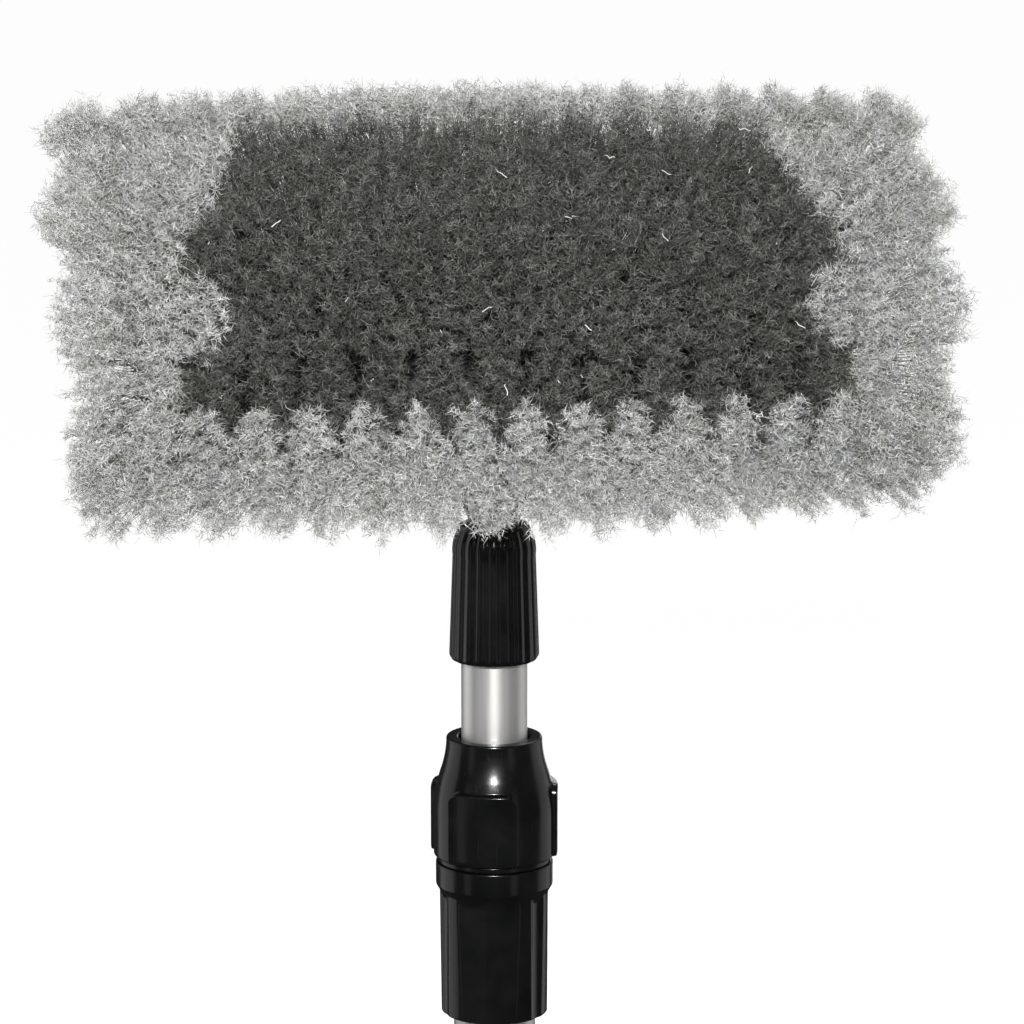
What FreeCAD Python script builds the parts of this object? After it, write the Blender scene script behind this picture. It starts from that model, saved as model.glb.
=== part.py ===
import FreeCAD, Part
import math
import os
import re
import Sketcher

# Telescopic window cleaning pole with a wide bristle head.
# Millimetres, +Z up along the pole, the brush faces -Y and looks up a little.
# Origin: the centre of the hanging hole in the end cap, on the pole's axis.

Vector = FreeCAD.Vector

SIZES = {
    # end cap
    "hang_hole_radius": 4.5,
    "tab_radius": 13.0,
    "tab_thickness": 12.0,
    "collar_bottom": 9.0,
    "collar_radius": 17.5,
    "collar_length": 15.0,
    "plug_length": 36.0,
    "plug_bore_radius": 10.0,
    "plug_floor": 6.0,
    "cap_screw_rise": 12.0,
    "cap_screw_radius": 1.5,
    "cap_screw_head_radius": 3.2,
    "cap_screw_head_length": 1.8,
    # tubes
    "outer_radius": 15.875,
    "outer_wall": 1.6,
    "outer_length": 576.0,
    "inner_radius": 12.7,
    "inner_wall": 1.5,
    "inner_bottom": 92.0,
    "inner_length": 623.0,
    # hand grip
    "grip_bottom": 46.0,
    "grip_length": 210.0,
    "grip_radius": 18.4,
    "grip_bead_radius": 19.4,
    "grip_bead_length": 6.0,
    # fits
    "slip": 0.1,
    "tube_running": 0.08,
    "free": 0.35,
    # twist lock
    "lock_bottom": 555.0,
    "flute_length": 49.0,
    "sleeve_bottom_radius": 20.65,
    "sleeve_top_radius": 21.2,
    "band_rise": 2.5,
    "band_length": 9.0,
    "band_radius": 22.7,
    "lock_bore_radius": 13.1,
    "neck_radius": 19.0,
    "neck_length": 24.5,
    "seat_length": 9.0,
    "seat_top_radius": 16.2,
    "seat_bottom_radius": 13.9,
    "flute_count": 3,
    "flute_radius": 7.7,
    "flute_depth": 1.5,
    "flat_apothem": 19.9,
    "flat_half_width": 8.0,
    "ring_gap": 0.2,
    "ring_thickness": 2.2,
    "ring_radius": 22.0,
    "nut_length": 46.8,
    "nut_radius": 23.5,
    "nut_top_radius": 18.5,
    "nut_waist_radius": 21.0,
    "nut_waist_height": 32.8,
    "nut_body_height": 16.0,
    "nut_flare_arc": 40.0,
    "nut_edge": 1.2,
    "nut_mouth_radius": 13.8,
    "nut_mouth_height": 40.0,
    "taper_height": 23.5,
    "taper_radius": 17.3,
    "taper_top_radius": 14.3,
    "pad_count": 3,
    "pad_radius": 24.6,
    "pad_height": 28.5,
    "pad_corner": 4.0,
    "pad_half_width": 13.75,
    "collet_rise": 14.5,
    "collet_length": 23.5,
    "collet_shoulder": 10.0,
    "collet_shoulder_radius": 16.6,
    "collet_slot": 2.0,
    # inner pole ends
    "bush_length": 30.0,
    "bush_radius": 14.2,
    "rivet_radius": 1.6,
    "rivet_head_radius": 2.6,
    "rivet_head_length": 0.5,
    "ferrule_plug_length": 32.0,
    "ferrule_rivet_drop": 10.0,
    "ferrule_flange": 1.5,
    "ferrule_thread_radius": 12.3,
    "ferrule_thread_length": 16.5,
    "ferrule_bore_radius": 7.0,
    # coupling
    "coupling_bottom": 695.0,
    "coupling_radius": 17.25,
    "coupling_edge": 2.6,
    "coupling_shoulder_height": 41.0,
    "coupling_shoulder_radius": 15.9,
    "coupling_neck_height": 50.0,
    "coupling_neck_radius": 14.4,
    "coupling_length": 53.0,
    "coupling_top_radius": 13.2,
    "skirt_radius": 13.7,
    "skirt_length": 22.4,
    "thread_bore_radius": 12.65,
    "lip_height": 42.6,
    "lip_radius": 10.4,
    "rib_count": 20,
    "rib_groove_radius": 1.1,
    "rib_groove_offset": 0.3,
    "washer_thickness": 1.0,
    # brush neck
    "stem_radius": 10.0,
    "stem_flange_radius": 12.2,
    "stem_flange_length": 3.0,
    "stem_length": 17.3,
    "stem_cone_length": 6.0,
    "socket_radius": 13.0,
    "socket_length": 60.0,
    "socket_bore_radius": 6.5,
    "socket_bore_length": 40.0,
    "flange_width": 68.0,
    "flange_bottom": 40.0,
    "flange_top": 18.0,
    "flange_thickness": 5.0,
    "gusset_thickness": 4.0,
    "gusset_reach": 26.0,
    "neck_screw_spread": 27.0,
    "neck_screw_low": 32.0,
    "neck_screw_high": 11.0,
    "neck_screw_radius": 1.9,
    "neck_screw_hole": 2.2,
    "neck_screw_head_radius": 4.0,
    "neck_screw_head_length": 2.6,
    "pilot_depth": 6.0,
    # brush block
    "head_level": 817.0,
    "head_tilt": 29.0,
    "block_length": 270.0,
    "block_height": 80.0,
    "block_thickness": 24.0,
    "block_face_arc": 70.0,
    "block_corner": 15.0,
    # bristle tufts
    "hole_radius": 3.0,
    "hole_depth": 8.2,
    "tuft_root_radius": 2.9,
    "tuft_root_depth": 7.0,
    "tuft_tip_radius": 8.0,
    "tuft_length": 66.0,
    "tuft_pitch": 15.4,
    "row_pitch": 10.0,
    "anchor_length": 4.0,
    "anchor_width": 1.6,
    "anchor_thickness": 0.6,
}

# from the top row down: tufts, how many of the middle ones are dark, the end tufts' sideways lean
# and the row's upward lean, both in degrees
ROWS = (
    (17, 0, 32, 54.0),
    (16, 10, 36, 33.0),
    (17, 11, 36, 22.0),
    (16, 12, 36, 7.0),
    (17, 11, 33, -8.5),
    (16, 12, 36, -25.0),
    (17, 0, 31, -38.5),
    (16, 0, 38, -48.0),
)

# world angles in degrees, about the pole's axis
PAD_ANGLE = -111.0
FLUTE_ANGLE = -46.0
# how far each of the two flats between two flutes is turned from the middle
FLAT_TURN = 15.0

# turns that lay a primitive's +Z along +X or +Y
ACROSS = {"X": FreeCAD.Rotation(Vector(0, 1, 0), 90), "Y": FreeCAD.Rotation(Vector(1, 0, 0), -90)}

DOC = FreeCAD.newDocument("WindowPole")
SHEET = DOC.addObject("Spreadsheet::Sheet", "Dims")
PARTS = []


def fill_sheet():
    """Writes one row of the sheet for each driving dimension and names its cell."""
    for row, (alias, value) in enumerate(SIZES.items(), start=1):
        SHEET.set(f"A{row}", alias)
        SHEET.set(f"B{row}", str(value))
        SHEET.setAlias(f"B{row}", alias)
    DOC.recompute()


def bound(text):
    """The same expression with each alias written as a cell of the sheet."""
    return re.sub(r"[a-z][a-z_]*", r"Dims.\g<0>", text)


def size(text):
    """The present value of an expression in the sheet's aliases."""
    return float(SHEET.evalExpression(text))


# levels along the pole, as expressions
OUTER_BOTTOM = "collar_bottom + collar_length"
OUTER_TOP = f"{OUTER_BOTTOM} + outer_length"
INNER_TOP = "inner_bottom + inner_length"
BAND_TOP = "lock_bottom + flute_length + band_rise + band_length"
RING_BOTTOM = f"{BAND_TOP} + ring_gap"
NUT_BOTTOM = f"{RING_BOTTOM} + ring_thickness + ring_gap"
FERRULE_TOP = f"{INNER_TOP} + ferrule_flange + ferrule_thread_length"
STEM_BOTTOM = f"{FERRULE_TOP} + slip"
STEM_TOP = f"{STEM_BOTTOM} + stem_length"
WASHER_BOTTOM = f"{STEM_BOTTOM} + stem_flange_length + slip"


def keep(part, label):
    """Names a finished sub-part after its file."""
    part.Label = label
    PARTS.append(part)
    return part


def drive(thing, **properties):
    """Binds properties to expressions in the sheet."""
    for name, text in properties.items():
        thing.setExpression(name.replace("__", "."), bound(text))
    return thing


def primitive(kind, name, **properties):
    """A Part primitive with its sizes bound to the sheet."""
    return drive(DOC.addObject("Part::" + kind, name), **properties)


def across(thing, axis):
    """Turns a primitive's +Z to lie along +X or +Y, keeping where it stands."""
    thing.Placement.Rotation = ACROSS[axis]
    return thing


def fused(name, shapes):
    union = DOC.addObject("Part::MultiFuse", name)
    union.Shapes = shapes
    return union


def cut(name, base, tool):
    result = DOC.addObject("Part::Cut", name)
    result.Base = base
    result.Tool = tool
    return result


# --------------------------------------------------------------- turned bodies


def origin_feature(body, role):
    return next(f for f in body.Origin.OriginFeatures if f.Role == role)


def arc_between(start, end, radius, side):
    """The short arc between two corners and which of its ends (1 or 2) the way along it meets first.

    Side 1 bulges to the left of the way from start to end, -1 to the right.
    A sketch stores every arc anticlockwise, so a left bulge is stored from its far end.
    """
    chord = end - start
    half = chord.Length / 2
    rise = radius - math.sqrt(radius**2 - half**2)
    leftward = Vector(-chord.y, chord.x, 0).normalize()
    middle = start + chord / 2 + leftward * rise * side
    if side > 0:
        return Part.Arc(end, middle, start), (2, 1)
    return Part.Arc(start, middle, end), (1, 2)


def pin_to_origin(sketch, line, place, point, corner):
    """Dimensions a corner from the sketch's origin, bound to the sheet."""
    for kind, value, text, axis in (
        ("DistanceX", point.x, corner[0], -2),
        ("DistanceY", point.y, corner[1], -1),
    ):
        if abs(value) < 1e-9:
            sketch.addConstraint(Sketcher.Constraint("PointOnObject", line, place, axis))
            continue
        index = sketch.addConstraint(Sketcher.Constraint(kind, -1, 1, line, place, value))
        sketch.setExpression(f"Constraints[{index}]", bound(text))


def draw_outline(sketch, outline):
    """Closed outline through corners (x, y) or (x, y, arc radius, side), each a bound expression.

    A corner with an arc radius starts an arc, which runs to the next corner.
    """
    points = [Vector(size(corner[0]), size(corner[1]), 0) for corner in outline]
    ends = []
    for index, corner in enumerate(outline):
        start, end = points[index], points[(index + 1) % len(points)]
        if len(corner) == 2:
            sketch.addGeometry(Part.LineSegment(start, end))
            ends.append((1, 2))
            continue
        arc, order = arc_between(start, end, size(corner[2]), corner[3])
        sketch.addGeometry(arc)
        ends.append(order)
    for index, corner in enumerate(outline):
        following = (index + 1) % len(outline)
        sketch.addConstraint(
            Sketcher.Constraint("Coincident", index, ends[index][1], following, ends[following][0])
        )
        pin_to_origin(sketch, index, ends[index][0], points[index], corner)
        if len(corner) == 4:
            radius = sketch.addConstraint(Sketcher.Constraint("Radius", index, size(corner[2])))
            sketch.setExpression(f"Constraints[{radius}]", bound(corner[2]))


def section(body, name, role, outline):
    """A sketch on one of the body's own origin planes."""
    sketch = body.newObject("Sketcher::SketchObject", name)
    sketch.AttachmentSupport = [(origin_feature(body, role), "")]
    sketch.MapMode = "FlatFace"
    draw_outline(sketch, outline)
    return sketch


def revolved(label, level, outline):
    """A body of revolution about the pole's axis, standing at a level."""
    body = DOC.addObject("PartDesign::Body", label)
    DOC.recompute()
    sketch = section(body, label + "_section", "XZ_Plane", outline)
    turn = body.newObject("PartDesign::Revolution", label + "_turn")
    turn.Profile = sketch
    turn.ReferenceAxis = (sketch, ["V_Axis"])
    turn.Angle = 360
    sketch.Visibility = False
    body.setExpression("Placement.Base.z", bound(level))
    DOC.recompute()
    return body


def turned(label, level, outline):
    """A sub-part that is one body of revolution."""
    return keep(revolved(label, level, outline), label)


def tube_outline(inside, outside, length):
    """Section of a plain tube."""
    return ((inside, "0"), (outside, "0"), (outside, length), (inside, length))


def bite(body, kind, name, place, **properties):
    """Takes a primitive out of a body and checks that it removed something."""
    before = body.Shape.Volume
    tool = body.newObject("PartDesign::Subtractive" + kind, name)
    tool.Placement = place
    drive(tool, **properties)
    DOC.recompute()
    if not body.Shape.Volume < before - 0.01:
        raise ValueError(f"{name} removed nothing")
    return tool


def around(body, feature, count):
    """Repeats a feature evenly about the pole's axis."""
    pattern = body.newObject("PartDesign::PolarPattern", feature.Name + "_pattern")
    pattern.Originals = [feature]
    pattern.Axis = (origin_feature(body, "Z_Axis"), [""])
    pattern.Angle = 360
    drive(pattern, Occurrences=count)
    body.Tip = pattern
    DOC.recompute()
    return pattern


def drill_through(body, name, height, radius, axis):
    """A hole straight through both walls of a tube, across its axis."""
    reach = size("outer_radius") * 2
    start = {"X": Vector(-reach, 0, size(height)), "Y": Vector(0, -reach, size(height))}[axis]
    place = FreeCAD.Placement(start, ACROSS[axis])
    bite(body, "Cylinder", name, place, Radius=radius, Height="4 * outer_radius")


# ----------------------------------------------------------------- outer pole


def make_outer_tube():
    tube = turned(
        "outer_tube", OUTER_BOTTOM, tube_outline("outer_radius - outer_wall", "outer_radius", "outer_length")
    )
    drill_through(tube, "cap_screw_holes", "cap_screw_rise", "cap_screw_radius + slip", "X")


def make_end_cap():
    """Plug, collar and a flat tab with the hanging hole; its origin is the hole's centre."""
    round_end = primitive("Cylinder", "tab_round", Radius="tab_radius", Height="tab_thickness")
    across(round_end, "Y")
    drive(round_end, Placement__Base__y="0 - tab_thickness / 2")
    web = primitive(
        "Box", "tab_web", Length="2 * tab_radius", Width="tab_thickness", Height="collar_bottom"
    )
    drive(web, Placement__Base__x="0 - tab_radius", Placement__Base__y="0 - tab_thickness / 2")
    collar = primitive("Cylinder", "cap_collar", Radius="collar_radius", Height="collar_length")
    drive(collar, Placement__Base__z="collar_bottom")
    plug = primitive(
        "Cylinder", "cap_plug", Radius="outer_radius - outer_wall - slip", Height="plug_length"
    )
    drive(plug, Placement__Base__z=OUTER_BOTTOM)
    hole = primitive("Cylinder", "hang_hole", Radius="hang_hole_radius", Height="2 * tab_thickness")
    across(hole, "Y")
    drive(hole, Placement__Base__y="0 - tab_thickness")
    hollow = primitive("Cylinder", "plug_bore", Radius="plug_bore_radius", Height="plug_length")
    drive(hollow, Placement__Base__z=f"{OUTER_BOTTOM} + plug_floor")
    pilot = primitive(
        "Cylinder", "cap_pilot", Radius="cap_screw_radius + slip / 2", Height="4 * collar_radius"
    )
    across(pilot, "X")
    drive(
        pilot,
        Placement__Base__x="0 - 2 * collar_radius",
        Placement__Base__z=f"{OUTER_BOTTOM} + cap_screw_rise",
    )
    solid = fused("cap_solid", [round_end, web, collar, plug])
    keep(cut("cap_cut", solid, fused("cap_voids", [hole, hollow, pilot])), "end_cap")


def make_end_cap_screws():
    """Two pan-head screws through the outer tube's wall into the plug."""
    pieces = []
    for name, side in (("right", 1), ("left", -1)):
        reach = "outer_radius - plug_bore_radius"
        shank = primitive("Cylinder", f"cap_shank_{name}", Radius="cap_screw_radius", Height=reach)
        head = primitive(
            "Cone",
            f"cap_head_{name}",
            Radius1="cap_screw_head_radius",
            Radius2="cap_screw_head_radius * 0.7",
            Height="cap_screw_head_length",
        )
        screw = fused(f"cap_screw_{name}", [shank, head])
        for piece, start in ((shank, "plug_bore_radius"), (head, "outer_radius")):
            piece.Placement.Rotation = FreeCAD.Rotation(Vector(0, 1, 0), 90 * side)
            drive(
                piece,
                Placement__Base__x=f"{side} * ({start})",
                Placement__Base__z=f"{OUTER_BOTTOM} + cap_screw_rise",
            )
        pieces.append(screw)
    group = DOC.addObject("Part::Compound", "cap_screws")
    group.Links = pieces
    keep(group, "end_cap_screws")


def make_hand_grip():
    turned(
        "hand_grip",
        "grip_bottom",
        (
            ("outer_radius + slip", "0"),
            ("grip_bead_radius - 1", "0"),
            ("grip_bead_radius", "1"),
            ("grip_bead_radius", "grip_bead_length"),
            ("grip_radius", "grip_bead_length + 1"),
            ("grip_radius", "grip_length - grip_bead_length - 1"),
            ("grip_bead_radius", "grip_length - grip_bead_length"),
            ("grip_bead_radius", "grip_length - 1"),
            ("grip_bead_radius - 1", "grip_length"),
            ("outer_radius + slip", "grip_length"),
        ),
    )


# ----------------------------------------------------------------- twist lock


def make_lock_body():
    """Sleeve with flutes and flats over the outer tube's end, a smooth band and the threaded neck."""
    band_bottom = "flute_length + band_rise"
    band_top = f"{band_bottom} + band_length"
    neck_top = f"{band_top} + neck_length"
    shelf = f"{OUTER_TOP} - lock_bottom"
    body = turned(
        "lock_body",
        "lock_bottom",
        (
            ("outer_radius + slip", "0"),
            ("sleeve_bottom_radius - 0.6", "0"),
            ("sleeve_bottom_radius", "0.6"),
            ("sleeve_top_radius", "flute_length"),
            ("band_radius", band_bottom),
            ("band_radius", f"{band_top} - 0.5"),
            ("band_radius - 0.5", band_top),
            ("neck_radius", band_top),
            ("neck_radius", f"{neck_top} - 0.8"),
            ("neck_radius - 0.8", neck_top),
            ("seat_top_radius", neck_top),
            ("seat_bottom_radius", f"{neck_top} - seat_length"),
            ("lock_bore_radius", f"{neck_top} - seat_length"),
            ("lock_bore_radius", shelf),
            ("outer_radius + slip", shelf),
        ),
    )
    stand_off = size("sleeve_top_radius - flute_depth + flute_radius")
    angle = math.radians(FLUTE_ANGLE)
    start = Vector(stand_off * math.cos(angle), stand_off * math.sin(angle), -1)
    flute = bite(
        body,
        "Cylinder",
        "flute",
        FreeCAD.Placement(start, FreeCAD.Rotation()),
        Radius="flute_radius",
        Height="flute_length + 1",
    )
    around(body, flute, "flute_count")
    middle = FLUTE_ANGLE + 180 / size("flute_count")
    for name, side in (("left", -1), ("right", 1)):
        turn = FreeCAD.Rotation(Vector(0, 0, 1), middle + FLAT_TURN * side)
        flat = bite(
            body,
            "Box",
            f"flat_{name}",
            FreeCAD.Placement(turn.multVec(Vector(size("flat_apothem"), -size("flat_half_width"), -1)), turn),
            Length="band_radius - flat_apothem",
            Width="2 * flat_half_width",
            Height="flute_length + 1",
        )
        around(body, flat, "flute_count")


def make_lock_ring():
    turned(
        "lock_ring", RING_BOTTOM, tube_outline("neck_radius + free", "ring_radius", "ring_thickness")
    )


def make_lock_nut():
    """Flared clamp nut: a straight skirt, a concave shoulder and three raised finger pads."""
    body = revolved(
        "nut_body",
        NUT_BOTTOM,
        (
            ("neck_radius + free", "0"),
            ("nut_radius - 0.5", "0"),
            ("nut_radius", "0.5"),
            ("nut_radius", "nut_body_height", "nut_flare_arc * 1.5", -1),
            ("nut_waist_radius", "nut_waist_height", "nut_flare_arc", 1),
            ("nut_top_radius", "nut_length - nut_edge"),
            ("nut_top_radius - nut_edge", "nut_length"),
            ("nut_mouth_radius", "nut_length"),
            ("nut_mouth_radius", "nut_mouth_height"),
            ("taper_top_radius", "nut_mouth_height"),
            ("taper_radius", "taper_height"),
            ("neck_radius + free", "taper_height"),
        ),
    )
    pad_solid = pad_prism()
    pads = Part.makeCompound([])
    count = int(size("pad_count"))
    for index in range(count):
        pad = pad_solid.copy()
        pad.rotate(Vector(), Vector(0, 0, 1), PAD_ANGLE + index * 360 / count)
        pads.add(pad)
    raised = DOC.addObject("Part::Feature", "finger_pads")
    raised.Shape = pads
    drive(raised, Placement__Base__z=NUT_BOTTOM)
    keep(fused("lock_nut_whole", [body, raised]), "lock_nut")


def pad_prism():
    """One finger pad along +X: a tall panel with round upper corners, bounded by two cylinders."""
    half = size("pad_half_width")
    top = size("pad_height")
    corner = size("pad_corner")
    side = corner * (1 - math.sqrt(0.5))
    outline = [
        Part.LineSegment(Vector(0, -half, 0), Vector(0, half, 0)),
        Part.LineSegment(Vector(0, half, 0), Vector(0, half, top - corner)),
        Part.Arc(
            Vector(0, half, top - corner), Vector(0, half - side, top - side), Vector(0, half - corner, top)
        ),
        Part.LineSegment(Vector(0, half - corner, top), Vector(0, corner - half, top)),
        Part.Arc(
            Vector(0, corner - half, top), Vector(0, side - half, top - side), Vector(0, -half, top - corner)
        ),
        Part.LineSegment(Vector(0, -half, top - corner), Vector(0, -half, 0)),
    ]
    panel = Part.Face(Part.Wire([edge.toShape() for edge in outline]))
    prism = panel.extrude(Vector(2 * size("pad_radius"), 0, 0))
    inner = Part.makeCylinder(size("nut_radius - 1.5"), top * 2, Vector(0, 0, -1))
    outer = Part.makeCylinder(size("pad_radius"), top * 2, Vector(0, 0, -1))
    return prism.common(outer).cut(inner)


def make_grip_collet():
    """Split double-cone ring which the nut squeezes onto the inner tube."""
    slope = "(seat_top_radius - seat_bottom_radius) / seat_length"
    taper = "(taper_radius - taper_top_radius) / (nut_mouth_height - taper_height)"
    seat_bottom = f"{BAND_TOP} + neck_length - seat_length"
    foot = f"seat_bottom_radius - free + ({NUT_BOTTOM} + collet_rise - ({seat_bottom})) * {slope}"
    tip = f"taper_radius - free - (collet_rise + collet_length - taper_height) * {taper}"
    seat_end = f"{BAND_TOP} + neck_length - ({NUT_BOTTOM}) - collet_rise"
    body = turned(
        "grip_collet",
        f"{NUT_BOTTOM} + collet_rise",
        (
            ("inner_radius + tube_running", "0"),
            (foot, "0"),
            ("seat_top_radius - free", seat_end),
            ("collet_shoulder_radius", "collet_shoulder"),
            (tip, "collet_length"),
            ("inner_radius + tube_running", "collet_length"),
        ),
    )
    width = size("collet_slot")
    split = FreeCAD.Placement(Vector(0, -width / 2, -1), FreeCAD.Rotation())
    bite(
        body,
        "Box",
        "collet_split",
        split,
        Length="2 * inner_radius",
        Width="collet_slot",
        Height="collet_length + 2",
    )
    for index in (1, 2, 3):
        turn = FreeCAD.Rotation(Vector(0, 0, 1), 90 * index)
        start = turn.multVec(Vector(0, -width / 2, 0)) + Vector(0, 0, size("collet_shoulder"))
        bite(
            body,
            "Box",
            f"collet_slot_{index}",
            FreeCAD.Placement(start, turn),
            Length="2 * inner_radius",
            Width="collet_slot",
            Height="collet_length",
        )


# ----------------------------------------------------------------- inner pole


def make_inner_tube():
    section_outline = tube_outline("inner_radius - inner_wall", "inner_radius", "inner_length")
    tube = turned("inner_tube", "inner_bottom", section_outline)
    drill_through(tube, "bush_rivet_holes", "bush_length / 2", "rivet_radius + slip", "Y")
    drill_through(
        tube, "ferrule_rivet_holes", "inner_length - ferrule_rivet_drop", "rivet_radius + slip", "Y"
    )


def make_guide_bush():
    bush = turned(
        "guide_bush",
        "inner_bottom",
        (
            ("inner_radius + slip / 2", "0"),
            ("bush_radius - 0.6", "0"),
            ("bush_radius", "1.5"),
            ("bush_radius", "bush_length - 1.5"),
            ("bush_radius - 0.6", "bush_length"),
            ("inner_radius + slip / 2", "bush_length"),
        ),
    )
    drill_through(bush, "bush_holes", "bush_length / 2", "rivet_radius + slip", "Y")


def make_rivets(label, level, start, reach, head_at):
    """Two rivets on opposite sides of the inner tube, each a shank with a flat head."""
    pieces = []
    for name, side in (("back", 1), ("front", -1)):
        shank = primitive("Cylinder", f"{label}_{name}_shank", Radius="rivet_radius", Height=reach)
        head = primitive(
            "Cylinder", f"{label}_{name}_head", Radius="rivet_head_radius", Height="rivet_head_length"
        )
        for piece, distance in ((shank, start), (head, head_at)):
            piece.Placement.Rotation = FreeCAD.Rotation(Vector(1, 0, 0), -90 * side)
            drive(piece, Placement__Base__y=f"{side} * ({distance})", Placement__Base__z=level)
        pieces.append(fused(f"{label}_{name}", [shank, head]))
    group = DOC.addObject("Part::Compound", label + "_pair")
    group.Links = pieces
    keep(group, label)


def make_bush_rivets():
    make_rivets(
        "bush_rivets",
        "inner_bottom + bush_length / 2",
        "inner_radius - inner_wall - rivet_head_length",
        "bush_radius - 0.1 - inner_radius + inner_wall + rivet_head_length",
        "inner_radius - inner_wall - 2 * rivet_head_length",
    )


def make_ferrule_rivets():
    make_rivets(
        "ferrule_rivets",
        f"{INNER_TOP} - ferrule_rivet_drop",
        "ferrule_bore_radius + 0.5",
        "inner_radius - ferrule_bore_radius - 0.5 + rivet_head_length",
        "inner_radius",
    )


def make_thread_ferrule():
    """Plug riveted into the inner tube, with the male thread the coupling nut screws onto."""
    plug_top = "ferrule_plug_length"
    ferrule = turned(
        "thread_ferrule",
        f"{INNER_TOP} - ferrule_plug_length",
        (
            ("ferrule_bore_radius", "0"),
            ("inner_radius - inner_wall - slip", "0"),
            ("inner_radius - inner_wall - slip", plug_top),
            ("inner_radius", plug_top),
            ("inner_radius", f"{plug_top} + ferrule_flange"),
            ("ferrule_thread_radius", f"{plug_top} + ferrule_flange"),
            ("ferrule_thread_radius", f"{plug_top} + ferrule_flange + ferrule_thread_length"),
            ("ferrule_bore_radius", f"{plug_top} + ferrule_flange + ferrule_thread_length"),
        ),
    )
    height = "ferrule_plug_length - ferrule_rivet_drop"
    drill_through(ferrule, "ferrule_holes", height, "rivet_radius + slip", "Y")


# ------------------------------------------------------------------- coupling


def make_coupling_nut():
    """Ribbed taper nut; its lip holds the brush neck's flange down on the ferrule."""
    edge = "coupling_edge"
    body = turned(
        "coupling_nut",
        "coupling_bottom",
        (
            ("skirt_radius", "0"),
            (f"coupling_radius - {edge}", "0", edge, -1),
            ("coupling_radius", edge),
            ("coupling_shoulder_radius", "coupling_shoulder_height"),
            ("coupling_neck_radius", "coupling_neck_height"),
            ("coupling_top_radius", "coupling_length"),
            ("lip_radius", "coupling_length"),
            ("lip_radius", "lip_height"),
            ("thread_bore_radius", "lip_height"),
            ("thread_bore_radius", "skirt_length"),
            ("skirt_radius", "skirt_length"),
        ),
    )
    drop = size("coupling_radius - coupling_shoulder_radius")
    rise = size(f"coupling_shoulder_height - {edge}")
    lean = math.degrees(math.atan2(drop, rise))
    start = Vector(size("coupling_radius + rib_groove_offset") + drop / rise * size(edge), 0, 0)
    groove = bite(
        body,
        "Cylinder",
        "rib_groove",
        FreeCAD.Placement(start, FreeCAD.Rotation(Vector(0, 1, 0), -lean)),
        Radius="rib_groove_radius",
        Height="coupling_neck_height",
    )
    around(body, groove, "rib_count")


def make_coupling_washer():
    turned(
        "coupling_washer",
        WASHER_BOTTOM,
        tube_outline("stem_radius + free", "thread_bore_radius - 0.2", "washer_thickness"),
    )


# ----------------------------------------------------------------- brush head


def head_place():
    """The head's own frame: +Z up the block, -Y out of its bristle face."""
    tilt = FreeCAD.Rotation(Vector(1, 0, 0), -size("head_tilt"))
    return FreeCAD.Placement(Vector(0, 0, size("head_level")), tilt)


def back_plane():
    """How far behind the block's middle its flat back lies."""
    return size("block_thickness") / 2


def make_brush_neck():
    """Captive stem, straight socket and the flange that is screwed to the block's back."""
    flange = primitive(
        "Cylinder", "stem_flange", Radius="stem_flange_radius", Height="stem_flange_length"
    )
    drive(flange, Placement__Base__z=STEM_BOTTOM)
    stem = primitive("Cylinder", "stem", Radius="stem_radius", Height="stem_length")
    drive(stem, Placement__Base__z=STEM_BOTTOM)
    cone = primitive(
        "Cone", "stem_cone", Radius1="stem_radius", Radius2="socket_radius", Height="stem_cone_length"
    )
    drive(cone, Placement__Base__z=STEM_TOP)
    socket = primitive("Cylinder", "socket", Radius="socket_radius", Height="socket_length")
    drive(socket, Placement__Base__z=f"{STEM_TOP} + stem_cone_length")

    plate = DOC.addObject("Part::Feature", "neck_plate")
    plate.Shape = neck_plate_shape()
    plate.Placement = head_place()

    bore = primitive("Cylinder", "socket_bore", Radius="socket_bore_radius", Height="socket_bore_length")
    drive(bore, Placement__Base__z=STEM_BOTTOM)
    front = DOC.addObject("Part::Feature", "block_side")
    reach = size("block_length")
    front.Shape = Part.makeBox(2 * reach, reach, 2 * reach, Vector(-reach, back_plane() - reach, -reach))
    front.Placement = head_place()
    solid = fused("neck_solid", [flange, stem, cone, socket, plate])
    keep(cut("neck_cut", solid, fused("neck_voids", [bore, front])), "brush_neck")


def screw_places():
    """Corners of the neck flange's screw pattern, in the head's frame."""
    spread = size("neck_screw_spread")
    return [(x, z) for x in (-spread, spread) for z in (-size("neck_screw_low"), size("neck_screw_high"))]


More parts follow.
